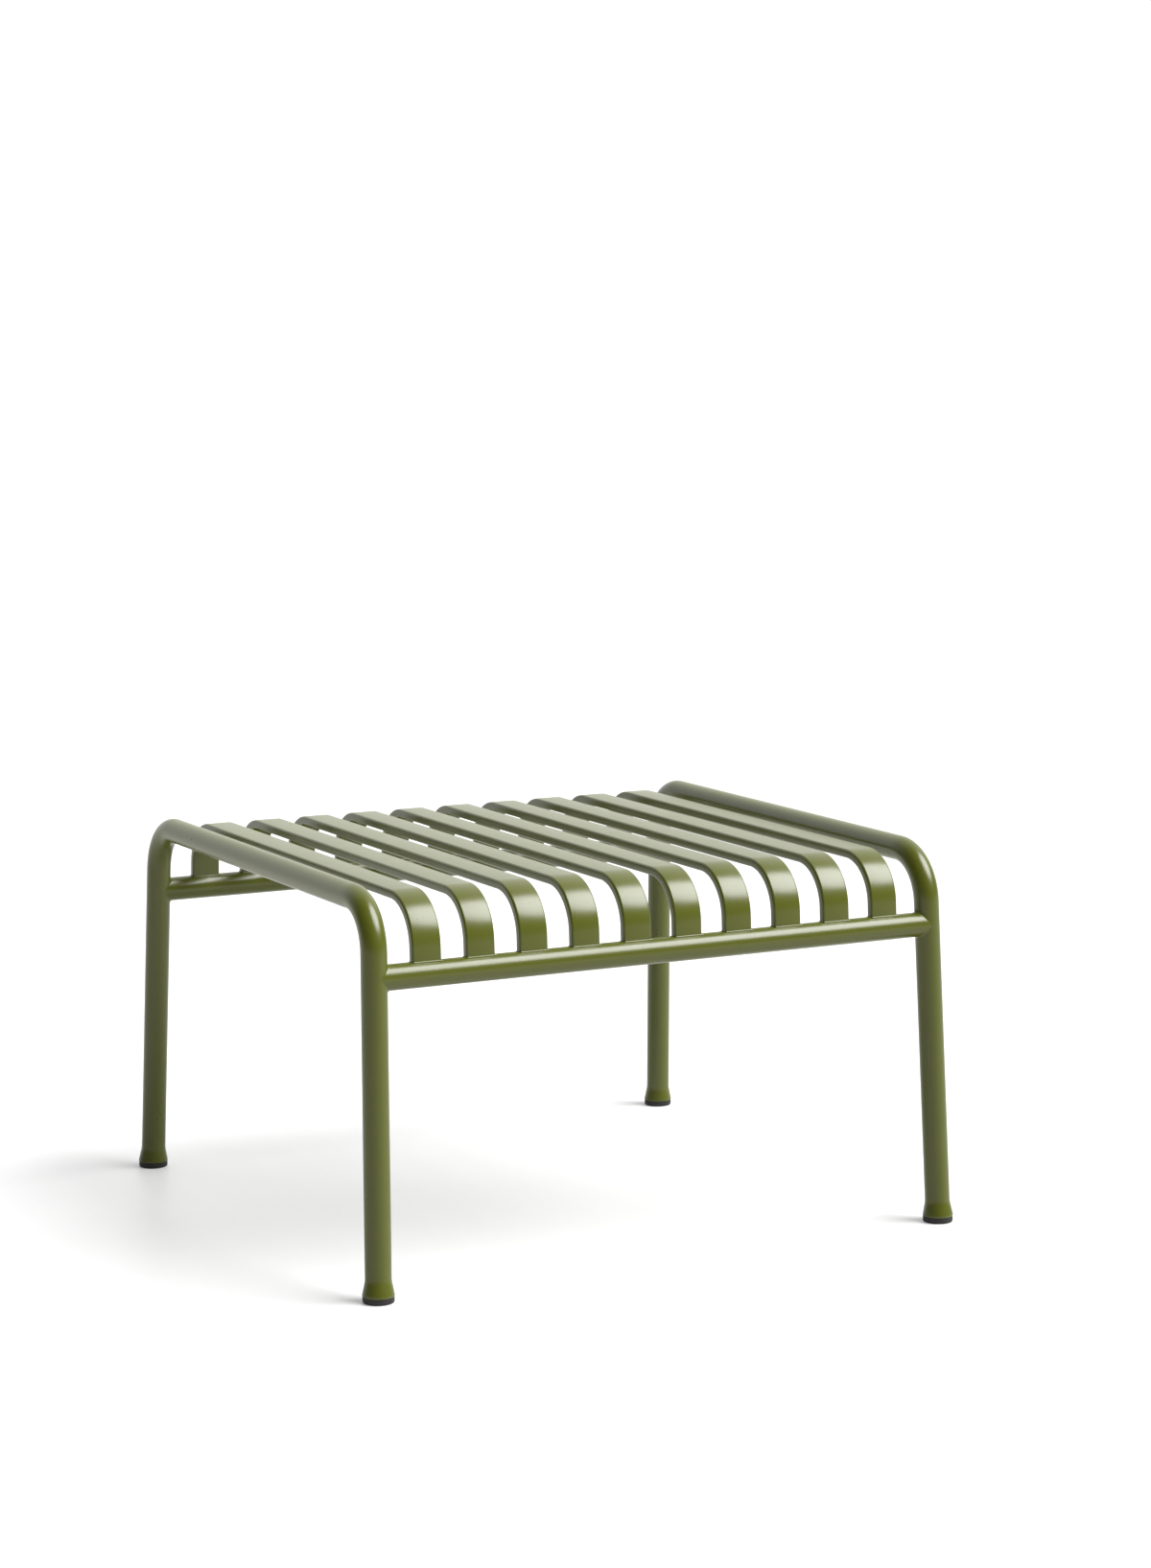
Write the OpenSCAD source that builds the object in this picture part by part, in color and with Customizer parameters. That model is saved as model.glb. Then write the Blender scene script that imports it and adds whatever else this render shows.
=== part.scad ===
// Backless garden bench: two bent tube side frames, two cross rails and ten bent seat slats.
// Origin on the floor under the middle of the seat, +X along the bench, +Y to the back, +Z up.

/* [Bench] */
// Height of the top of the side frames above the floor
bench_h = 388.5; // [300:0.5:520]
// Distance between the centrelines of the two side frames, at rail height
frame_spacing = 611; // [480:1:1200]
// Distance between the centrelines of the front and rear legs, at rail height
leg_spacing = 563; // [300:1:800]

/* [Side frames] */
// Outside diameter of the side frame tubes
tube_d = 25.4; // [25.4:0.1:30.5]
// Wall of the side frame tubes
tube_wall = 2; // [1.2:0.1:2.6]
// Centreline radius of the two bends in each side frame
frame_bend_r = 50; // [38:1:58]
// Lean of every leg to the front or the rear, from the upright
leg_lean = 3; // [0:0.1:6]
// Lean of each side frame outwards, from the upright
frame_lean = 1.2; // [0:0.1:3]

/* [Rails] */
// Distance from the top of the side frames down to the centreline of the cross rails
rail_drop = 83.2; // [80:0.1:140]
// Outside diameter of the cross rails, a little under the legs' so that their copes close on the legs
rail_d = 25; // [18:0.1:25]
// Wall of the cross rails
rail_wall = 2; // [1.2:0.1:3]

/* [Slats] */
// Number of slats
slat_count = 10; // [2:1:14]
// Width of each slat
slat_w = 30; // [20:0.5:40]
// Thickness of each slat
slat_t = 9; // [7:0.5:12]
// Wall of the flat tube that the slats are bent from
slat_wall = 1.5; // [1:0.1:1.8]
// Radius of the slats' long edges
slat_edge_r = 2; // [1.9:0.1:3]
// Radius of the bend at each end of a slat, on its upper face
slat_bend_r = 51.5; // [30:0.5:56]
// Drop from the top of the side frames to the top of the slats
slat_drop = 8.6; // [2:0.1:12]
// Lean of the slat ends to the front or the rear, from the upright
slat_lean = 3; // [0:0.1:6]
// Gap between the outer slats and the legs, at rail height
side_gap = 25.5; // [10:0.1:60]

/* [Feet] */
// Diameter of the flared mouth of each leg, which is cut level with the floor
flare_d = 31; // [28:0.1:36]
// Length of the flare along the leg
flare_len = 16; // [12:1:26]
// Length of the straight lip at the mouth of the flare
flare_lip = 1.5; // [1:0.1:3]
// Diameter of the foot glides
glide_d = 30.5; // [26:0.1:36]
// Height of the part of each glide that shows under the leg
glide_t = 6; // [3:0.5:8]
// Radius of the rounded lower edge of the glides
glide_edge_r = 1.4; // [0.4:0.1:2.5]
// Length of straight bore that each glide's plug grips, above the flare
plug_grip = 14; // [12:1:24]
// Diameter of the plug's core between its gripping fins
plug_core_d = 17; // [10:0.5:17]
// Number of gripping fins on each plug
plug_fins = 3; // [2:1:4]
// Thickness of one gripping fin
plug_fin_t = 1.5; // [1:0.1:2]

/* [Welds] */
// Reach along the rail of the weld around each rail end
rail_weld_reach = 2.5; // [1:0.1:3]
// Height of that weld above the rail
rail_weld_rise = 3.5; // [1.5:0.1:4]
// Radius of the thin bead along each face of a slat end
slat_weld_r = 1.4; // [0.8:0.1:2]
// Length of that bead past each edge of the slat
slat_weld_over = 1.5; // [0:0.1:2.5]

/* [Hidden] */
$fn = 96;
SIDES = ["left", "right"];
ENDS = ["front", "rear"];
SLATS = [for (i = [1 : slat_count]) str("slat_", i < 10 ? "0" : "", i)];

frame_paint = "#7d8350";
weld_paint = "#8a8f5c";
glide_plastic = "#242220";

tube_r = tube_d / 2;
rail_r = rail_d / 2;
flare_r = flare_d / 2;
rail_h = bench_h - rail_drop;
// Height of the side frames' top centreline above the rails, along the frame's own lean
frame_rise = (rail_drop - tube_r) / cos(frame_lean);
// Length of each leg below the rail, down to the glide
leg_down = (rail_h - glide_t) / cos(leg_lean) / cos(frame_lean);
flare_full = flare_len + flare_lip;
// Length that is drawn past the mouth, for the level cut
mouth_spare = flare_r * tan(leg_lean + frame_lean);
// Share of the flare's length that curves before it runs straight, and the steps along all of it
flare_soft = 0.35;
flare_steps = 8;
// Height of the middle of the slats above the rails
slat_rise = rail_drop - slat_drop - slat_t / 2;
slat_pitch = (frame_spacing - tube_d - 2 * side_gap - slat_w) / (slat_count - 1);
// Height above a rail's axis at which the faces of a slat's end meet the rail
slat_seat = sqrt(rail_r * rail_r - slat_t * slat_t / 4);
// Steps round each rounded edge
edge_steps = 6;
// The bends are drawn this much into their wall, and the straight lengths lap this far over them
bend_draw = 0.05;
bend_lap = 0.5;

function side_sign(side) = side == "right" ? 1 : -1;
function end_sign(end) = end == "rear" ? 1 : -1;
function slat_x(i) = (i - (slat_count - 1) / 2) * slat_pitch;

// Length of a bar's straight end above the rails, for a bar bent down from the height rise
function end_rise(rise, bend_r, lean) =
    rise / cos(lean) - bend_r * tan((90 - lean) / 2) + bend_lap;

// Share of the flare's widening that is reached at the share t of its length
function flare_share(t) =
    (t < flare_soft ? t * t / (2 * flare_soft) : t - flare_soft / 2) / (1 - flare_soft / 2);

// Points down the flare's face, which lies inset inside the outer one
function flare_curve(inset) = [
    for (k = [0 : flare_steps])
        let (t = k / flare_steps)
        [tube_r - inset + (flare_r - tube_r) * flare_share(t), flare_full - flare_len * t - leg_down]
];

function reversed(list) = [for (k = [len(list) - 1 : -1 : 0]) list[k]];

// Section of a round tube, with both faces drawn into the wall by inset
module tube_section(r, wall, inset) {
    difference() {
        circle(r = r - inset);
        circle(r = r - wall + inset);
    }
}

module rounded_rectangle(w, t, edge_r) {
    polygon([
        for (q = [0 : 3], k = [0 : edge_steps])
            let (a = 90 * (q + k / edge_steps), sx = q == 0 || q == 3 ? 1 : -1, sy = q < 2 ? 1 : -1)
            [sx * (w / 2 - edge_r) + edge_r * cos(a), sy * (t / 2 - edge_r) + edge_r * sin(a)]
    ]);
}

// Section of the slats' flat tube, with both faces drawn into the wall by inset
module slat_section(inset) {
    hollow = slat_wall - inset;
    difference() {
        rounded_rectangle(slat_w - 2 * inset, slat_t - 2 * inset, slat_edge_r - inset);
        rounded_rectangle(slat_w - 2 * hollow, slat_t - 2 * hollow, slat_edge_r - hollow);
    }
}

// Places a child at both ends of a bar, on the level of the rails, with +Z up along the end
module at_ends(reach, lean) {
    for (s = [-1, 1]) translate([0, s * reach, 0]) rotate([s * lean, 0, 0]) children();
}

// A bar bent over at both ends, from the level of the rails up to the height rise. The children are
// the section of its level top, the section of its bends, and one of its straight ends
module hoop(reach, rise, bend_r, lean) {
    half_top = reach - rise * tan(lean) - bend_r * tan((90 - lean) / 2);
    translate([0, 0, rise]) rotate([90, 0, 0])
        linear_extrude(2 * (half_top + bend_lap), center = true) children(0);
    for (s = [0, 1])
        mirror([0, s, 0]) translate([0, half_top, rise - bend_r]) rotate([90, 0, 90])
            rotate(lean) rotate_extrude(angle = 90 - lean) translate([bend_r, 0]) rotate(-90)
                children(1);
    at_ends(reach, lean) children(2);
}

// Places a child made in the YZ plane, with the rails on its level 0, in a leaning side frame
module at_side(side) {
    translate([side_sign(side) * frame_spacing / 2, 0, rail_h])
        rotate([0, -side_sign(side) * frame_lean, 0]) children();
}

// Places a child on a leg's axis, with its origin at the rail and +Z up the leg
module at_leg(end, side) {
    at_side(side) translate([0, end_sign(end) * leg_spacing / 2, 0])
        rotate([end_sign(end) * leg_lean, 0, 0]) children();
}

// Places a child on a rail's axis, over the middle of the bench
module at_rail(end) {
    translate([0, end_sign(end) * leg_spacing / 2, rail_h]) children();
}

// One leg with its flared mouth, up to the bend
module leg() {
    top = end_rise(frame_rise, frame_bend_r, leg_lean);
    rotate_extrude() polygon(concat(
        flare_curve(tube_wall),
        [[flare_r - tube_wall, -leg_down - mouth_spare], [flare_r, -leg_down - mouth_spare]],
        reversed(flare_curve(0)),
        [[tube_r, top], [tube_r - tube_wall, top]]
    ));
}

// The mouths of both legs are cut level, to sit on the glides
module side_frame(side) {
    color(frame_paint) difference() {
        at_side(side) hoop(leg_spacing / 2, frame_rise, frame_bend_r, leg_lean) {
            tube_section(tube_r, tube_wall, 0);
            tube_section(tube_r, tube_wall, bend_draw);
            leg();
        }
        translate([-frame_spacing, -leg_spacing, -bench_h])
            cube([2 * frame_spacing, 2 * leg_spacing, bench_h + glide_t]);
    }
}

// The rail's mouths are coped to sit on the legs
module rail(end) {
    color(frame_paint) difference() {
        at_rail(end) rotate([0, 90, 0])
            linear_extrude(frame_spacing, center = true) tube_section(rail_r, rail_wall, 0);
        for (side = SIDES) at_leg(end, side) cylinder(r = tube_r, h = 4 * rail_d, center = true);
    }
}

// The slat's ends are shaped to sit on the rails
module slat(i) {
    bend_r = slat_bend_r - slat_t / 2;
    color(frame_paint) difference() {
        translate([slat_x(i), 0, rail_h]) hoop(leg_spacing / 2, slat_rise, bend_r, slat_lean) {
            slat_section(0);
            slat_section(bend_draw);
            linear_extrude(end_rise(slat_rise, bend_r, slat_lean)) slat_section(0);
        }
        for (end = ENDS)
            at_rail(end) rotate([0, 90, 0]) cylinder(r = rail_r, h = frame_spacing, center = true);
    }
}

// The glide's head stands upright on the floor, under the middle of the leg's mouth
module glide_head(end, side) {
    drop = rail_h - glide_t;
    translate([
        side_sign(side) * (frame_spacing / 2 + drop * tan(frame_lean)),
        end_sign(end) * (leg_spacing / 2 + drop * tan(leg_lean) / cos(frame_lean)),
        0
    ]) rotate_extrude() polygon(concat(
        [[0, 0]],
        [for (k = [0 : edge_steps])
            let (a = 90 * k / edge_steps)
            [glide_d / 2 - glide_edge_r * (1 - sin(a)), glide_edge_r * (1 - cos(a))]],
        [[glide_d / 2, glide_t], [0, glide_t]]
    ));
}

// A plastic disc under the leg's mouth, with a finned plug up its bore
module foot_glide(end, side) {
    color(glide_plastic) {
        glide_head(end, side);
        at_leg(end, side) translate([0, 0, -leg_down]) {
            translate([0, 0, -glide_t / 2])
                cylinder(d = plug_core_d, h = glide_t / 2 + flare_full + plug_grip);
            for (k = [1 : plug_fins])
                translate([0, 0, flare_full + plug_grip * k / plug_fins - plug_fin_t])
                    cylinder(r = tube_r - tube_wall, h = plug_fin_t);
        }
    }
}

// A bead round the rail's coped mouth: what a sleeve on the leg and a sleeve on the rail share
module rail_weld(end, side) {
    color(weld_paint) intersection() {
        at_leg(end, side) linear_extrude(4 * rail_d, center = true)
            tube_section(tube_r + rail_weld_reach, rail_weld_reach, 0);
        translate([side_sign(side) * (frame_spacing / 2 - tube_d), 0, 0]) at_rail(end)
            rotate([0, 90, 0]) linear_extrude(2 * tube_d, center = true)
                tube_section(rail_r + rail_weld_rise, rail_weld_rise, 0);
    }
}

// A thin bead along both faces of every slat end on one rail
module slat_welds(end) {
    color(weld_paint) for (i = [0 : slat_count - 1], face = [-1, 1])
        translate([slat_x(i), 0, 0]) at_rail(end)
            rotate([end_sign(end) * slat_lean, 0, 0]) rotate([90, 0, 90])
                linear_extrude(slat_w + 2 * slat_weld_over, center = true) difference() {
                    translate([face * slat_t / 2, slat_seat]) circle(r = slat_weld_r);
                    circle(r = rail_r);
                    translate([-slat_t / 2, 0]) square([slat_t, rail_d]);
                }
}

for (s = SIDES)
    side_frame(s);
for (e = ENDS)
    rail(e);
for (i = [0 : slat_count - 1])
    slat(i);
for (e = ENDS, s = SIDES)
    foot_glide(e, s);
for (e = ENDS, s = SIDES)
    rail_weld(e, s);
for (e = ENDS)
    slat_welds(e);
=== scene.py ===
import math

import bmesh
import bpy
from mathutils import Matrix, Vector


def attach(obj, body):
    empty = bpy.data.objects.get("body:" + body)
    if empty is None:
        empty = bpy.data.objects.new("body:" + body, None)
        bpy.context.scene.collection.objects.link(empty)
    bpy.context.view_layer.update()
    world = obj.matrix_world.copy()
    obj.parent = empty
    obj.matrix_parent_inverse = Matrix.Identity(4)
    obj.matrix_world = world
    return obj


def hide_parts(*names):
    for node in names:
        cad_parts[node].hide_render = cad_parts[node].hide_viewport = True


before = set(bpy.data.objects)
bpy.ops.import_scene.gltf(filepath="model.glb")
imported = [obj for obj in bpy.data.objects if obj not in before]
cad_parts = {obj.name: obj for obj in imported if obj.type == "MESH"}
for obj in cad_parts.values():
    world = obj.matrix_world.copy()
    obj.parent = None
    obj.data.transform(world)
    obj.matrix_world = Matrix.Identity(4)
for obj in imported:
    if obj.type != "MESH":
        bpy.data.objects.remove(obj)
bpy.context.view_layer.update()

# Side frames: each is one length of round steel tube, bent over at two corners and flared out at
# both mouths. The two carry the bench, lean slightly outwards, and are powder coated olive green
# with the rest of the metal once everything is welded.
FRAME_SPACING = 0.611
LEG_SPACING = 0.563
BENCH_HEIGHT = 0.3885
RAIL_HEIGHT = 0.3053
TUBE_RADIUS = 0.0127
TUBE_WALL = 0.002
FRAME_BEND_RADIUS = 0.050
LEG_LEAN = math.radians(3)
FRAME_LEAN = math.radians(1.2)
FLARE_RADIUS = 0.0155
FLARE_LENGTH = 0.016
FLARE_LIP = 0.0015
FLARE_SOFT_START = 0.35
FLARE_STEPS = 12
MOUTH_EDGE = 0.0005
MOUTH_SPARE = 0.0012
GLIDE_SHOWING = 0.006
TUBE_SIDES = 72
LEG_RINGS = 8
BEND_STEPS = 30
TOP_RINGS = 8
MOUTH_EDGE_STEPS = 3
CUT_SPARE = 0.00005
MERGE_DISTANCE = 0.00001
MIRROR_MERGE_DISTANCE = 0.0001
SMOOTH_ANGLE = math.radians(35)
COAT_DEEP = (0.080, 0.091, 0.0065, 1)
COAT_LIGHT = (0.087, 0.098, 0.0085, 1)
COAT_DRIFT_SCALE = 9
COAT_SHEEN_SCALE = 60
COAT_SMOOTHEST = 0.26
COAT_ROUGHEST = 0.31
COAT_PEEL_SCALE = 420
COAT_PEEL_STRENGTH = 0.25
COAT_PEEL_DEPTH = 0.00006
COAT_IOR = 1.5
COARSE_DETAIL = 2
FINE_DETAIL = 3
SIDES = {"left": -1, "right": 1}
ENDS = {"front": -1, "rear": 1}

frame_rise = (BENCH_HEIGHT - RAIL_HEIGHT - TUBE_RADIUS) / math.cos(FRAME_LEAN)
leg_down = (RAIL_HEIGHT - GLIDE_SHOWING) / math.cos(LEG_LEAN) / math.cos(FRAME_LEAN)


def start_piece(name):
    """Names the primitive that was just added, puts its place in its mesh and opens it."""
    piece = bpy.context.object
    piece.name = piece.data.name = name
    bpy.ops.object.transform_apply(location=True, rotation=True, scale=True)
    bpy.ops.object.mode_set(mode="EDIT")
    bpy.ops.mesh.select_all(action="SELECT")
    return piece


def rim_centre(piece):
    """Middle of the points that are selected now."""
    points = [v.co for v in bmesh.from_edit_mesh(piece.data).verts if v.select]
    return sum(points, Vector()) / len(points)


def draw_on(piece, step, growth=1.0):
    """Draws the selected rim on by a step, and widens or narrows it there."""
    bpy.ops.mesh.extrude_region_move(TRANSFORM_OT_translate={"value": step})
    if growth != 1.0:
        bpy.ops.transform.resize(value=(growth,) * 3, center_override=rim_centre(piece))


def draw_bar(piece, lean, straight, bend_radius, level_half, rings):
    """Draws the rim up a leaning end, round the bend and along to the middle of the bench."""
    up = Vector((0, -math.sin(lean), math.cos(lean)))
    inwards = Vector((0, -math.cos(lean), -math.sin(lean)))
    for _ in range(rings):
        draw_on(piece, up * straight / rings)
    bpy.ops.mesh.spin(
        steps=BEND_STEPS,
        angle=math.pi / 2 - lean,
        center=rim_centre(piece) + inwards * bend_radius,
        axis=(-1, 0, 0),
    )
    for _ in range(TOP_RINGS):
        draw_on(piece, Vector((0, -level_half / TOP_RINGS, 0)))


def choose_edges(piece, wanted):
    """Selects only the edges that wanted() accepts."""
    bpy.ops.mesh.select_mode(type="EDGE")
    bpy.ops.mesh.select_all(action="DESELECT")
    shape = bmesh.from_edit_mesh(piece.data)
    for edge in shape.edges:
        if wanted(edge):
            edge.select_set(True)
    shape.select_flush_mode()
    bmesh.update_edit_mesh(piece.data)


def close_up(piece):
    """Merges doubles, turns every face outwards and leaves edit mode."""
    bpy.ops.mesh.select_mode(type="VERT")
    bpy.ops.mesh.select_all(action="SELECT")
    bpy.ops.mesh.remove_doubles(threshold=MERGE_DISTANCE)
    bpy.ops.mesh.normals_make_consistent(inside=False)
    bpy.ops.object.mode_set(mode="OBJECT")


def alone(piece):
    """Makes the piece the only one selected, and the active one."""
    bpy.ops.object.select_all(action="DESELECT")
    piece.select_set(True)
    bpy.context.view_layer.objects.active = piece


def modify(piece, kind, **settings):
    """Adds a modifier and applies it."""
    alone(piece)
    modifier = piece.modifiers.new(kind, kind)
    for name, value in settings.items():
        setattr(modifier, name, value)
    bpy.ops.object.modifier_apply(modifier=modifier.name)


def place(piece, location, rotation=(0, 0, 0)):
    """Turns and moves the piece, and puts its place in its mesh."""
    alone(piece)
    piece.location = location
    piece.rotation_euler = rotation
    bpy.ops.object.transform_apply(location=True, rotation=True, scale=True)


def copy_of(piece, name):
    """A copy with a mesh of its own."""
    twin = piece.copy()
    twin.data = piece.data.copy()
    twin.name = twin.data.name = name
    bpy.context.collection.objects.link(twin)
    return twin


def hand_over(piece, material, slot, *nodes):
    """Shades and coats a finished piece, and lets it stand for its CAD nodes."""
    alone(piece)
    bpy.ops.object.shade_smooth_by_angle(angle=SMOOTH_ANGLE)
    piece.data.materials.clear()
    piece.data.materials.append(material)
    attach(piece, "root")
    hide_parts(*nodes)


def node_of(owner, kind, **settings):
    """Adds a node to a material or a room, with its settings and its named sockets' values."""
    node = owner.node_tree.nodes.new(kind)
    for name, value in settings.items():
        if hasattr(node, name):
            setattr(node, name, value)
        else:
            node.inputs[name.replace("_", " ").title()].default_value = value
    return node


powder_coat = bpy.data.materials.new("olive_powder_coat")
powder_coat.use_nodes = True
coat_links = powder_coat.node_tree.links
coat_shader = powder_coat.node_tree.nodes["Principled BSDF"]
coat_place = node_of(powder_coat, "ShaderNodeTexCoord").outputs["Object"]
# Slow drift of the pigment from deep to light over a hand's width
drift = node_of(
    powder_coat, "ShaderNodeTexNoise", scale=COAT_DRIFT_SCALE, detail=COARSE_DETAIL
)
coat_links.new(coat_place, drift.inputs["Vector"])
tint = node_of(powder_coat, "ShaderNodeMix", data_type="RGBA")
tint.inputs[6].default_value = COAT_DEEP
tint.inputs[7].default_value = COAT_LIGHT
coat_links.new(drift.outputs["Fac"], tint.inputs[0])
coat_links.new(tint.outputs[2], coat_shader.inputs["Base Color"])
# Satin sheen, a little uneven
sheen = node_of(powder_coat, "ShaderNodeTexNoise", scale=COAT_SHEEN_SCALE, detail=FINE_DETAIL)
coat_links.new(coat_place, sheen.inputs["Vector"])
sheen_range = node_of(powder_coat, "ShaderNodeMapRange")
sheen_range.inputs["To Min"].default_value = COAT_SMOOTHEST
sheen_range.inputs["To Max"].default_value = COAT_ROUGHEST
coat_links.new(sheen.outputs["Fac"], sheen_range.inputs["Value"])
coat_links.new(sheen_range.outputs["Result"], coat_shader.inputs["Roughness"])
# Orange peel of the cured powder
peel = node_of(powder_coat, "ShaderNodeTexNoise", scale=COAT_PEEL_SCALE, detail=COARSE_DETAIL)
coat_links.new(coat_place, peel.inputs["Vector"])
peel_bump = node_of(
    powder_coat, "ShaderNodeBump", strength=COAT_PEEL_STRENGTH, distance=COAT_PEEL_DEPTH
)
coat_links.new(peel.outputs["Fac"], peel_bump.inputs["Height"])
coat_links.new(peel_bump.outputs["Normal"], coat_shader.inputs["Normal"])
coat_shader.inputs["IOR"].default_value = COAT_IOR


def flare_radius(share):
    """Radius of the flared mouth at a share of its length, from the tube down to the lip."""
    if share < FLARE_SOFT_START:
        opened = share * share / (2 * FLARE_SOFT_START)
    else:
        opened = share - FLARE_SOFT_START / 2
    opened /= 1 - FLARE_SOFT_START / 2
    return TUBE_RADIUS + (FLARE_RADIUS - TUBE_RADIUS) * opened


def close_mouths(piece):
    """Joins the inner and outer rims of each cut mouth, and rounds the outer one."""
    for end_sign in ENDS.values():
        choose_edges(
            piece, lambda e: e.is_boundary and all(v.co.y * end_sign > 0 for v in e.verts)
        )
        bpy.ops.mesh.bridge_edge_loops()
    level = GLIDE_SHOWING + CUT_SPARE
    choose_edges(
        piece,
        lambda e: all(v.co.z < level for v in e.verts)
        and any(f.calc_center_median().z > level for f in e.link_faces),
    )
    bpy.ops.mesh.bevel(offset=MOUTH_EDGE, segments=MOUTH_EDGE_STEPS, affect="EDGES")


leg_up = Vector((0, -math.sin(LEG_LEAN), math.cos(LEG_LEAN)))
mouth = Vector((0, LEG_SPACING / 2, 0)) - leg_up * leg_down
bend_reach = FRAME_BEND_RADIUS * math.tan((math.pi / 2 - LEG_LEAN) / 2)
leg_above_rail = frame_rise / math.cos(LEG_LEAN) - bend_reach

bpy.ops.object.select_all(action="DESELECT")
bpy.ops.mesh.primitive_circle_add(
    vertices=TUBE_SIDES,
    radius=FLARE_RADIUS,
    location=mouth - leg_up * MOUTH_SPARE,
    rotation=(LEG_LEAN, 0, 0),
)
side_tube = start_piece("side_tube_right")
draw_on(side_tube, leg_up * (MOUTH_SPARE + FLARE_LIP))
for step in range(FLARE_STEPS, 0, -1):
    narrowing = flare_radius((step - 1) / FLARE_STEPS) / flare_radius(step / FLARE_STEPS)
    draw_on(side_tube, leg_up * FLARE_LENGTH / FLARE_STEPS, narrowing)
draw_bar(
    side_tube,
    LEG_LEAN,
    leg_down + leg_above_rail - FLARE_LIP - FLARE_LENGTH,
    FRAME_BEND_RADIUS,
    LEG_SPACING / 2 - frame_rise * math.tan(LEG_LEAN) - bend_reach,
    LEG_RINGS,
)
close_up(side_tube)
modify(
    side_tube,
    "MIRROR",
    use_axis=(False, True, False),
    merge_threshold=MIRROR_MERGE_DISTANCE,
)
modify(side_tube, "SOLIDIFY", thickness=TUBE_WALL, offset=-1, use_even_offset=True)
side_tubes = {"right": side_tube, "left": copy_of(side_tube, "side_tube_left")}
for side, side_sign in SIDES.items():
    side_tube = side_tubes[side]
    place(
        side_tube,
        (side_sign * FRAME_SPACING / 2, 0, RAIL_HEIGHT),
        (0, -side_sign * FRAME_LEAN, 0),
    )
    # The mouths are cut level, and the cut edges are eased
    bpy.ops.object.mode_set(mode="EDIT")
    bpy.ops.mesh.select_all(action="SELECT")
    bpy.ops.mesh.bisect(
        plane_co=(0, 0, GLIDE_SHOWING), plane_no=(0, 0, 1), clear_inner=True, use_fill=False
    )
    close_mouths(side_tube)
    close_up(side_tube)
    hand_over(side_tube, powder_coat, "powder_coat", "side_frame_" + side)

# Rails: two straight round steel tubes that tie the side frames together, front and rear. Their
# ends are coped to sit on the legs, and are welded there.
RAIL_RADIUS = 0.0125
RAIL_WALL = 0.002
RAIL_END_LENGTH = 0.030
RAIL_RINGS = 12
COPE_CUTTER_SIDES = 2 * TUBE_SIDES
COPE_CUTTER_LENGTH = 0.1

leg_lines = {}
for end, end_sign in ENDS.items():
    for side, side_sign in SIDES.items():
        leg_lines[end, side] = (
            Matrix.Translation((side_sign * FRAME_SPACING / 2, 0, RAIL_HEIGHT))
            @ Matrix.Rotation(-side_sign * FRAME_LEAN, 4, "Y")
            @ Matrix.Translation((0, end_sign * LEG_SPACING / 2, 0))
            @ Matrix.Rotation(end_sign * LEG_LEAN, 4, "X")
        )

for end, end_sign in ENDS.items():
    bpy.ops.object.select_all(action="DESELECT")
    bpy.ops.mesh.primitive_circle_add(
        vertices=TUBE_SIDES,
        radius=RAIL_RADIUS,
        location=(-FRAME_SPACING / 2, end_sign * LEG_SPACING / 2, RAIL_HEIGHT),
        rotation=(0, math.pi / 2, 0),
    )
    rail = start_piece("cross_rail_" + end)
    draw_on(rail, Vector((RAIL_END_LENGTH, 0, 0)))
    for _ in range(RAIL_RINGS):
        draw_on(rail, Vector(((FRAME_SPACING - 2 * RAIL_END_LENGTH) / RAIL_RINGS, 0, 0)))
    draw_on(rail, Vector((RAIL_END_LENGTH, 0, 0)))
    close_up(rail)
    modify(rail, "SOLIDIFY", thickness=RAIL_WALL, offset=-1, use_even_offset=True)
    for side in SIDES:
        bpy.ops.object.select_all(action="DESELECT")
        bpy.ops.mesh.primitive_cylinder_add(
            vertices=COPE_CUTTER_SIDES, radius=TUBE_RADIUS, depth=COPE_CUTTER_LENGTH
        )
        cope = bpy.context.object
        cope.matrix_world = leg_lines[end, side]
        modify(rail, "BOOLEAN", object=cope, operation="DIFFERENCE", solver="EXACT")
        bpy.data.objects.remove(cope)
    hand_over(rail, powder_coat, "powder_coat", "rail_" + end)

# Rail welds: a fillet of steel weld runs round each coped rail end and blends it into the leg. It
# is smallest at the rail's sides, where the two tubes run on into each other, and the coat leaves
# only faint steps of the torch.
WELD_REACH = 0.0025
WELD_SIDE_SHARE = 0.4
WELD_FULLNESS = 0.22
WELD_DEPTH = 0.0005
WELD_STEP = 0.0019
WELD_STEP_HEIGHT = 0.00003
WELD_STEPS_ROUND = 240
WELD_CURVE_STEPS = 10
WELD_SEARCH_STEPS = 24
WELD_SIDES = WELD_CURVE_STEPS + 4


def on_leg(leg_line, inwards, centre, out, reach):
    """Point of the leg's inner face that lies at a reach from the rail's axis, if it gets there."""
    across = leg_line.inverted()
    near = across @ (centre + out * reach)
    along = across.to_3x3() @ inwards
    slope = along.x**2 + along.y**2
    offset = near.x * along.x + near.y * along.y
    spare = offset**2 - slope * (near.x**2 + near.y**2 - TUBE_RADIUS**2)
    if spare < 0:
        return None
    return centre + out * reach + inwards * (math.sqrt(spare) - offset) / slope


def weld_foot(leg_line, inwards, centre, out, seam, reach):
    """Point where the fillet runs out on the leg, one reach from the seam."""
    low, high = RAIL_RADIUS, RAIL_RADIUS + reach
    for _ in range(WELD_SEARCH_STEPS):
        middle = (low + high) / 2
        point = on_leg(leg_line, inwards, centre, out, middle)
        if point is None or (point - seam).length > reach:
            high = middle
        else:
            low = middle
    return on_leg(leg_line, inwards, centre, out, low)


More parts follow.
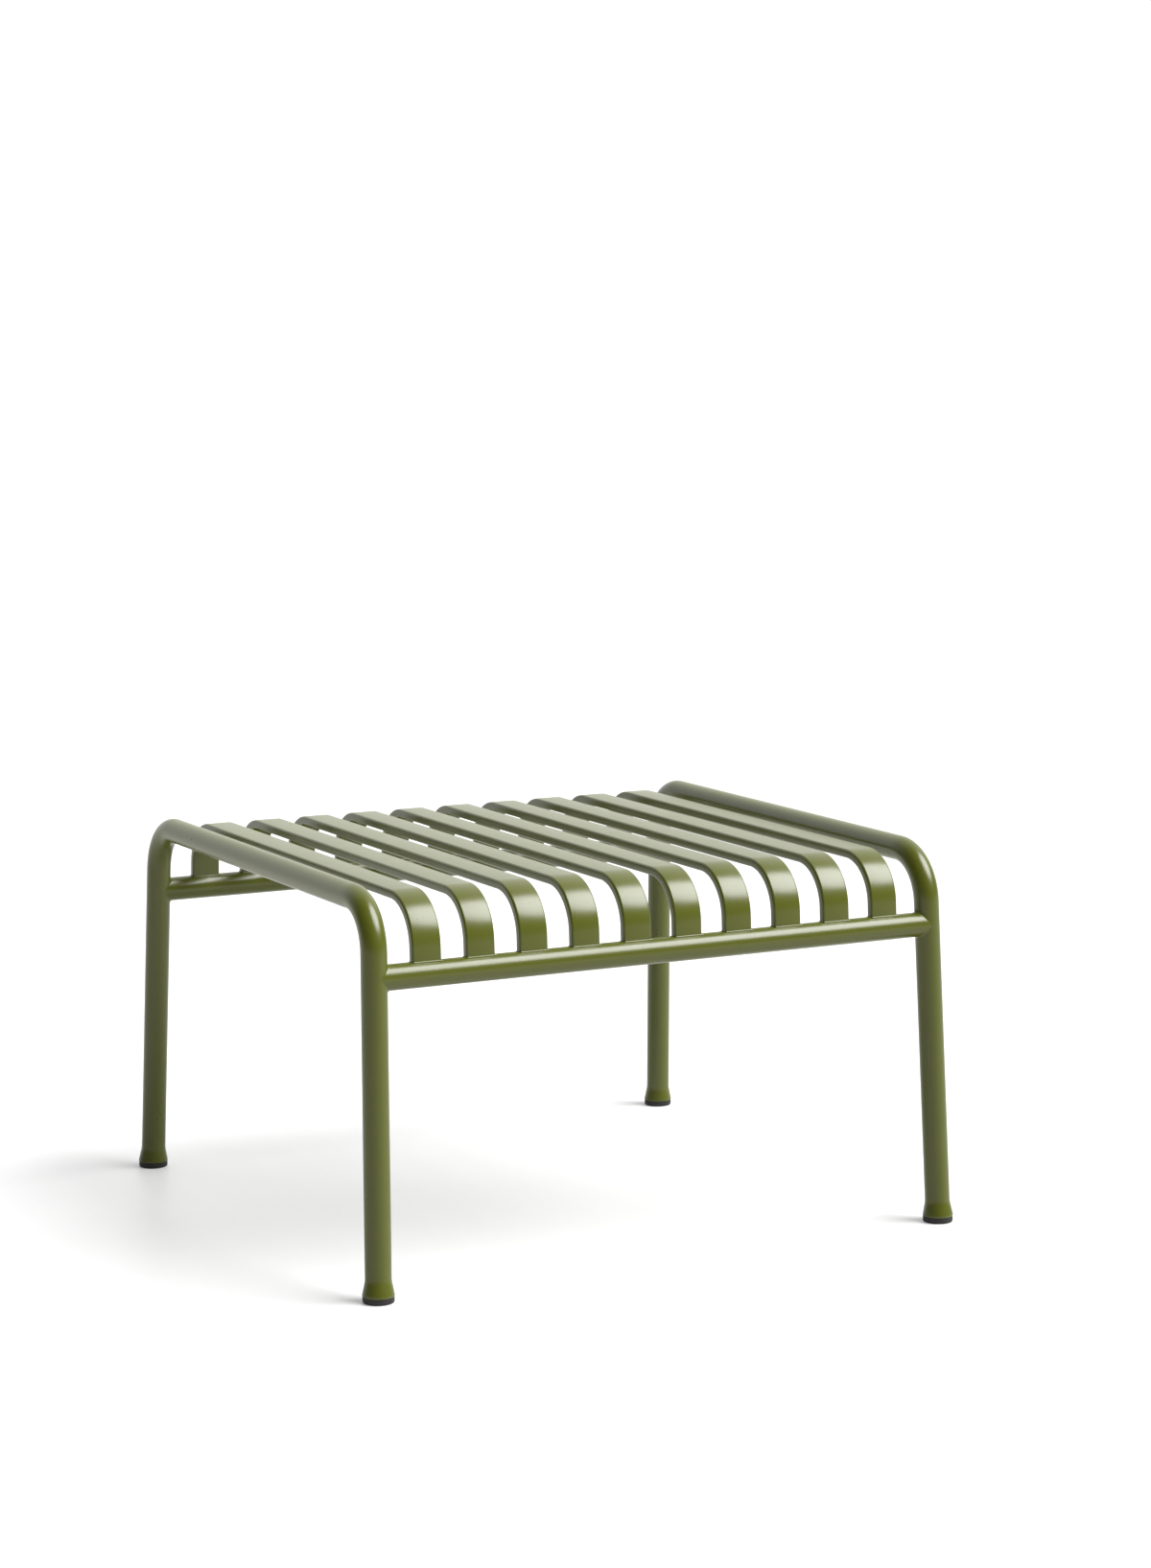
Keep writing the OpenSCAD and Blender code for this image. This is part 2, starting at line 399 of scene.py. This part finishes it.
def weld_section(leg_line, inwards, centre, turn, ripple):
    """Points round the fillet where it crosses one direction out from the rail's axis."""
    out = Vector((0, math.cos(turn), math.sin(turn)))
    seam = on_leg(leg_line, inwards, centre, out, RAIL_RADIUS)
    reach = WELD_REACH * (WELD_SIDE_SHARE + (1 - WELD_SIDE_SHARE) * abs(out.z))
    ripple *= out.z**2
    leg_foot = weld_foot(leg_line, inwards, centre, out, seam, reach)
    rail_foot = seam + inwards * reach
    leg_in = leg_line.to_3x3() @ (leg_line.inverted() @ leg_foot).to_2d().to_3d().normalized()
    middle = (leg_foot + rail_foot) / 2
    knee = seam.lerp(middle, WELD_FULLNESS) + (out + leg_in) * ripple
    points = []
    for k in range(WELD_CURVE_STEPS + 1):
        share = k / WELD_CURVE_STEPS
        points.append(rail_foot.lerp(knee, share).lerp(knee.lerp(leg_foot, share), share))
    points.append(leg_foot - leg_in * WELD_DEPTH)
    points.append(seam - (out + leg_in) * WELD_DEPTH)
    points.append(rail_foot - out * WELD_DEPTH)
    return points


for end, end_sign in ENDS.items():
    for side, side_sign in SIDES.items():
        centre = Vector((side_sign * FRAME_SPACING / 2, end_sign * LEG_SPACING / 2, RAIL_HEIGHT))
        inwards = Vector((-side_sign, 0, 0))
        bpy.ops.object.select_all(action="DESELECT")
        bpy.ops.mesh.primitive_torus_add(
            major_radius=RAIL_RADIUS,
            minor_radius=WELD_REACH / 2,
            major_segments=WELD_STEPS_ROUND,
            minor_segments=WELD_SIDES,
            location=centre,
            rotation=(0, math.pi / 2, 0),
        )
        weld = start_piece("rail_weld_fillet_" + end + "_" + side)
        bpy.ops.object.mode_set(mode="OBJECT")
        run, last_seam = 0.0, None
        for k in range(WELD_STEPS_ROUND):
            ripple = WELD_STEP_HEIGHT * math.cos(2 * math.pi * run / WELD_STEP)
            turn = 2 * math.pi * k / WELD_STEPS_ROUND
            section = weld_section(leg_lines[end, side], inwards, centre, turn, ripple)
            for j, point in enumerate(section):
                weld.data.vertices[k * WELD_SIDES + j].co = point
            seam = section[WELD_CURVE_STEPS // 2]
            run += (seam - last_seam).length if last_seam else 0
            last_seam = seam
        bpy.ops.object.mode_set(mode="EDIT")
        close_up(weld)
        hand_over(weld, powder_coat, "powder_coat", "rail_weld_" + end + "_" + side)

# Slats: ten lengths of flat steel tube with rounded edges, bent over at both ends. Each stands on
# the two rails with its feet cut to them and welded, a little lower than the side frames.
SLAT_WIDTH = 0.030
SLAT_THICKNESS = 0.009
SLAT_WALL = 0.0015
SLAT_EDGE_RADIUS = 0.002
SLAT_EDGE_STEPS = 5
SLAT_BEND_RADIUS = 0.0515
SLAT_DROP = 0.0086
SLAT_LEAN = math.radians(3)
SLAT_COUNT = 10
SIDE_GAP = 0.0255
SLAT_START = 0.005
FOOT_RINGS = 3
SLAT_FACE_WEIGHT = 100

slat_rise = BENCH_HEIGHT - SLAT_DROP - SLAT_THICKNESS / 2 - RAIL_HEIGHT
slat_pitch = (FRAME_SPACING - 2 * TUBE_RADIUS - 2 * SIDE_GAP - SLAT_WIDTH) / (SLAT_COUNT - 1)
slat_up = Vector((0, -math.sin(SLAT_LEAN), math.cos(SLAT_LEAN)))
slat_middle_radius = SLAT_BEND_RADIUS - SLAT_THICKNESS / 2
slat_bend_reach = slat_middle_radius * math.tan((math.pi / 2 - SLAT_LEAN) / 2)

bpy.ops.object.select_all(action="DESELECT")
bpy.ops.mesh.primitive_plane_add(
    size=1,
    location=Vector((0, LEG_SPACING / 2, 0)) + slat_up * SLAT_START,
    rotation=(SLAT_LEAN, 0, 0),
)
bpy.context.object.scale = (SLAT_WIDTH, SLAT_THICKNESS, 1)
first_slat = start_piece("seat_slat_01")
bpy.ops.mesh.bevel(offset=SLAT_EDGE_RADIUS, segments=SLAT_EDGE_STEPS, affect="VERTICES")
bpy.ops.mesh.delete(type="ONLY_FACE")
bpy.ops.mesh.select_all(action="SELECT")
draw_bar(
    first_slat,
    SLAT_LEAN,
    slat_rise / math.cos(SLAT_LEAN) - slat_bend_reach - SLAT_START,
    slat_middle_radius,
    LEG_SPACING / 2 - slat_rise * math.tan(SLAT_LEAN) - slat_bend_reach,
    FOOT_RINGS,
)
close_up(first_slat)
modify(
    first_slat,
    "MIRROR",
    use_axis=(False, True, False),
    merge_threshold=MIRROR_MERGE_DISTANCE,
)
modify(first_slat, "SOLIDIFY", thickness=SLAT_WALL, offset=-1, use_even_offset=True)
for end_sign in ENDS.values():
    bpy.ops.object.select_all(action="DESELECT")
    bpy.ops.mesh.primitive_cylinder_add(
        vertices=COPE_CUTTER_SIDES,
        radius=RAIL_RADIUS,
        depth=2 * SLAT_WIDTH,
        location=(0, end_sign * LEG_SPACING / 2, 0),
        rotation=(0, math.pi / 2, 0),
    )
    cope = bpy.context.object
    modify(first_slat, "BOOLEAN", object=cope, operation="DIFFERENCE", solver="EXACT")
    bpy.data.objects.remove(cope)
slats = [first_slat] + [copy_of(first_slat, f"seat_slat_{k:02}") for k in range(2, SLAT_COUNT + 1)]
for k, slat in enumerate(slats):
    place(slat, ((k - (SLAT_COUNT - 1) / 2) * slat_pitch, 0, RAIL_HEIGHT))
    modify(slat, "WEIGHTED_NORMAL", keep_sharp=True, weight=SLAT_FACE_WEIGHT)
    hand_over(slat, powder_coat, "powder_coat", f"slat_{k + 1:02}")

# Slat welds: a thin bead of steel weld lies along both faces of every slat foot, on the rail, and
# holds the slat there. All the beads on a rail are one piece.
SLAT_WELD_RADIUS = 0.0012
SLAT_WELD_OVER = 0.0008
SLAT_WELD_START = 0.0002
SLAT_WELD_END_RADIUS = 0.00036
SLAT_WELD_SIDES = 12
SLAT_WELD_RINGS = 44
SLAT_WELD_STEP = 0.0016
SLAT_WELD_STEP_HEIGHT = 0.00005

bead_length = SLAT_WIDTH + 2 * SLAT_WELD_OVER
bead_shift = SLAT_WELD_OVER - SLAT_WELD_START
slat_seat = math.sqrt(RAIL_RADIUS**2 - SLAT_THICKNESS**2 / 4)
for end, end_sign in ENDS.items():
    beads = []
    for slat_number in range(SLAT_COUNT):
        for face in (-1, 1):
            bpy.ops.object.select_all(action="DESELECT")
            bpy.ops.mesh.primitive_circle_add(
                vertices=SLAT_WELD_SIDES,
                radius=SLAT_WELD_END_RADIUS,
                location=(-bead_length / 2, 0, 0),
                rotation=(0, math.pi / 2, 0),
                fill_type="NGON",
            )
            bead = start_piece("slat_bead")
            ring_radius = SLAT_WELD_END_RADIUS
            for k in range(1, SLAT_WELD_RINGS + 1):
                along = bead_length * k / SLAT_WELD_RINGS
                to_end = min(along, bead_length - along)
                fullness = math.sqrt(1 - max(0, 1 - to_end / SLAT_WELD_RADIUS) ** 2)
                ripple = SLAT_WELD_STEP_HEIGHT * ((along / SLAT_WELD_STEP) % 1)
                wanted = max(SLAT_WELD_RADIUS * fullness - ripple, SLAT_WELD_END_RADIUS)
                draw_on(bead, Vector((bead_length / SLAT_WELD_RINGS, 0, 0)), wanted / ring_radius)
                ring_radius = wanted
            close_up(bead)
            seat = Matrix.Rotation(end_sign * SLAT_LEAN, 3, "X") @ Vector(
                (0, face * SLAT_THICKNESS / 2, slat_seat)
            )
            slat_x = (slat_number - (SLAT_COUNT - 1) / 2) * slat_pitch
            on_rail = Vector((slat_x + bead_shift, end_sign * LEG_SPACING / 2, RAIL_HEIGHT))
            place(bead, on_rail + seat)
            beads.append(bead)
    alone(beads[0])
    for bead in beads:
        bead.select_set(True)
    bpy.ops.object.join()
    beads[0].name = beads[0].data.name = "slat_weld_beads_" + end
    hand_over(beads[0], powder_coat, "powder_coat", "slat_welds_" + end)

# Foot glides: black moulded plastic plugs, pressed up the open mouths of the legs. Each has a round
# head that stands flat on the floor, and a finned plug that grips the bore.
GLIDE_RADIUS = 0.01525
GLIDE_EDGE_RADIUS = 0.0014
GLIDE_TOP_EDGE = 0.0003
GLIDE_EDGE_STEPS = 5
GLIDE_SIDES = 72
PLUG_CORE_RADIUS = 0.0085
PLUG_FINS = 3
PLUG_FIN_HEIGHT = 0.0015
PLUG_GRIP = 0.014
GLIDE_DEEP = (0.010, 0.009, 0.008, 1)
GLIDE_LIGHT = (0.016, 0.015, 0.014, 1)
GLIDE_GRAIN_SCALE = 900
GLIDE_GRAIN_STRENGTH = 0.4
GLIDE_GRAIN_DEPTH = 0.00005
GLIDE_SCUFF_SCALE = 120
GLIDE_SMOOTHEST = 0.45
GLIDE_ROUGHEST = 0.60

glide_plastic = bpy.data.materials.new("black_glide_plastic")
glide_plastic.use_nodes = True
glide_links = glide_plastic.node_tree.links
glide_shader = glide_plastic.node_tree.nodes["Principled BSDF"]
glide_place = node_of(glide_plastic, "ShaderNodeTexCoord").outputs["Object"]
# Fine grain of the mould
grain = node_of(
    glide_plastic, "ShaderNodeTexNoise", scale=GLIDE_GRAIN_SCALE, detail=COARSE_DETAIL
)
glide_links.new(glide_place, grain.inputs["Vector"])
shade = node_of(glide_plastic, "ShaderNodeMix", data_type="RGBA")
shade.inputs[6].default_value = GLIDE_DEEP
shade.inputs[7].default_value = GLIDE_LIGHT
glide_links.new(grain.outputs["Fac"], shade.inputs[0])
glide_links.new(shade.outputs[2], glide_shader.inputs["Base Color"])
grain_bump = node_of(
    glide_plastic, "ShaderNodeBump", strength=GLIDE_GRAIN_STRENGTH, distance=GLIDE_GRAIN_DEPTH
)
glide_links.new(grain.outputs["Fac"], grain_bump.inputs["Height"])
glide_links.new(grain_bump.outputs["Normal"], glide_shader.inputs["Normal"])
# Scuffs that make the gloss uneven
scuff = node_of(glide_plastic, "ShaderNodeTexNoise", scale=GLIDE_SCUFF_SCALE, detail=FINE_DETAIL)
glide_links.new(glide_place, scuff.inputs["Vector"])
scuff_range = node_of(glide_plastic, "ShaderNodeMapRange")
scuff_range.inputs["To Min"].default_value = GLIDE_SMOOTHEST
scuff_range.inputs["To Max"].default_value = GLIDE_ROUGHEST
glide_links.new(scuff.outputs["Fac"], scuff_range.inputs["Value"])
glide_links.new(scuff_range.outputs["Result"], glide_shader.inputs["Roughness"])

bore = TUBE_RADIUS - TUBE_WALL
grip_start = FLARE_LIP + FLARE_LENGTH
for end in ENDS:
    for side in SIDES:
        leg_line = leg_lines[end, side]
        up = leg_line.to_3x3() @ Vector((0, 0, 1))
        mouth_centre = leg_line @ Vector((0, 0, -leg_down))
        bpy.ops.object.select_all(action="DESELECT")
        bpy.ops.mesh.primitive_circle_add(
            vertices=GLIDE_SIDES,
            radius=GLIDE_RADIUS - GLIDE_EDGE_RADIUS,
            location=(mouth_centre.x, mouth_centre.y, 0),
            fill_type="NGON",
        )
        glide = start_piece("leg_glide_" + end + "_" + side)
        radius, height = GLIDE_RADIUS - GLIDE_EDGE_RADIUS, 0
        for k in range(1, GLIDE_EDGE_STEPS + 1):
            turn = math.pi / 2 * k / GLIDE_EDGE_STEPS
            new_radius = GLIDE_RADIUS - GLIDE_EDGE_RADIUS * (1 - math.sin(turn))
            new_height = GLIDE_EDGE_RADIUS * (1 - math.cos(turn))
            draw_on(glide, Vector((0, 0, new_height - height)), new_radius / radius)
            radius, height = new_radius, new_height
        draw_on(glide, Vector((0, 0, GLIDE_SHOWING - GLIDE_TOP_EDGE - height)))
        draw_on(glide, Vector((0, 0, GLIDE_TOP_EDGE)), 1 - GLIDE_TOP_EDGE / GLIDE_RADIUS)
        draw_on(glide, Vector(), PLUG_CORE_RADIUS / (GLIDE_RADIUS - GLIDE_TOP_EDGE))
        reached = 0
        for k in range(PLUG_FINS):
            fin_foot = grip_start + PLUG_GRIP * (k + 1) / PLUG_FINS - PLUG_FIN_HEIGHT
            draw_on(glide, up * (fin_foot - reached))
            draw_on(glide, Vector(), bore / PLUG_CORE_RADIUS)
            draw_on(glide, up * PLUG_FIN_HEIGHT)
            reached = fin_foot + PLUG_FIN_HEIGHT
            if k < PLUG_FINS - 1:
                draw_on(glide, Vector(), PLUG_CORE_RADIUS / bore)
        close_up(glide)
        hand_over(glide, glide_plastic, "glide_plastic", "foot_glide_" + end + "_" + side)

# Floor: a plain white studio floor under the bench. A little of its own light, which only the
# camera sees, keeps it white in the thin shadows.
FLOOR_SIZE = 60
FLOOR_WHITE = (0.62, 0.62, 0.62, 1)
FLOOR_ROUGHNESS = 0.45
FLOOR_SHEEN = 0.2
FLOOR_LIFT = 0.18
bpy.ops.object.select_all(action="DESELECT")
bpy.ops.mesh.primitive_plane_add(size=FLOOR_SIZE)
floor = bpy.context.object
floor.name = "studio_floor"
floor_paint = bpy.data.materials.new("floor_paint")
floor_paint.use_nodes = True
floor_shader = floor_paint.node_tree.nodes["Principled BSDF"]
floor_shader.inputs["Base Color"].default_value = FLOOR_WHITE
floor_shader.inputs["Roughness"].default_value = FLOOR_ROUGHNESS
floor_shader.inputs["Specular IOR Level"].default_value = FLOOR_SHEEN
floor_shader.inputs["Emission Color"].default_value = (FLOOR_LIFT, FLOOR_LIFT, FLOOR_LIFT, 1)
floor_seen = node_of(floor_paint, "ShaderNodeLightPath").outputs["Is Camera Ray"]
floor_paint.node_tree.links.new(floor_seen, floor_shader.inputs["Emission Strength"])
floor.data.materials.append(floor_paint)

# Light: one broad, soft light from the front right, far off so that it lights the whole floor
# alike, and a pale backdrop behind the bench. The room is dim all round but looks white.
KEY_DIRECTION = math.radians(-36)
KEY_HEIGHT = math.radians(51)
KEY_BREADTH = math.radians(44)
KEY_STRENGTH = 5.9
BACKDROP_DIRECTION = math.radians(73)
BACKDROP_HEIGHT = math.radians(17)
BACKDROP_MIDDLE = math.radians(36)
BACKDROP_EDGE = math.radians(74)
BACKDROP_STRENGTH = 1.3
FILL_STRENGTH = 0.06
WHITE_BEHIND = 1.1
key = bpy.data.lights.new("soft_key", "SUN")
key.energy = KEY_STRENGTH
key.angle = KEY_BREADTH
key_holder = bpy.data.objects.new("soft_key", key)
bpy.context.collection.objects.link(key_holder)
key_from = Vector(
    (
        math.cos(KEY_HEIGHT) * math.cos(KEY_DIRECTION),
        math.cos(KEY_HEIGHT) * math.sin(KEY_DIRECTION),
        math.sin(KEY_HEIGHT),
    )
)
key_holder.rotation_euler = key_from.to_track_quat("Z", "Y").to_euler()

room = bpy.data.worlds.new("pale_room")
room.use_nodes = True
room_links = room.node_tree.links
room_light = room.node_tree.nodes["Background"]
looking = node_of(room, "ShaderNodeTexCoord").outputs["Generated"]
towards = node_of(room, "ShaderNodeVectorMath", operation="DOT_PRODUCT")
towards.inputs[1].default_value = (
    math.cos(BACKDROP_HEIGHT) * math.cos(BACKDROP_DIRECTION),
    math.cos(BACKDROP_HEIGHT) * math.sin(BACKDROP_DIRECTION),
    math.sin(BACKDROP_HEIGHT),
)
room_links.new(looking, towards.inputs[0])
backdrop = node_of(room, "ShaderNodeMapRange", interpolation_type="SMOOTHSTEP")
backdrop.inputs["From Min"].default_value = math.cos(BACKDROP_EDGE)
backdrop.inputs["From Max"].default_value = math.cos(BACKDROP_MIDDLE)
backdrop.inputs["To Min"].default_value = FILL_STRENGTH
backdrop.inputs["To Max"].default_value = BACKDROP_STRENGTH
room_links.new(towards.outputs["Value"], backdrop.inputs["Value"])
# Looked at directly, the room is plain white
seen = node_of(room, "ShaderNodeLightPath").outputs["Is Camera Ray"]
strength = node_of(room, "ShaderNodeMix", data_type="FLOAT")
strength.inputs[3].default_value = WHITE_BEHIND
room_links.new(seen, strength.inputs[0])
room_links.new(backdrop.outputs["Result"], strength.inputs[2])
room_links.new(strength.outputs[0], room_light.inputs["Strength"])
room_light.inputs["Color"].default_value = (1, 1, 1, 1)
bpy.context.scene.world = room

# Camera: at standing height in front of the bench, to its left, with a long lens.
CAMERA_PLACE = (-1.64134, -3.27684, 0.94662)
CAMERA_YAW = math.radians(-27.3278)
CAMERA_PITCH = math.radians(-7.9714)
CAMERA_ROLL = math.radians(-0.2129)
CAMERA_LENS = 82.07
CAMERA_SENSOR = 36
lens = bpy.data.cameras.new("camera")
lens.lens = CAMERA_LENS
lens.sensor_width = CAMERA_SENSOR
camera = bpy.data.objects.new("camera", lens)
bpy.context.collection.objects.link(camera)
camera.matrix_world = (
    Matrix.Translation(CAMERA_PLACE)
    @ Matrix.Rotation(CAMERA_YAW, 4, "Z")
    @ Matrix.Rotation(math.pi / 2 + CAMERA_PITCH, 4, "X")
    @ Matrix.Rotation(CAMERA_ROLL, 4, "Z")
)
bpy.context.scene.camera = camera
bpy.context.scene.view_settings.view_transform = "Standard"
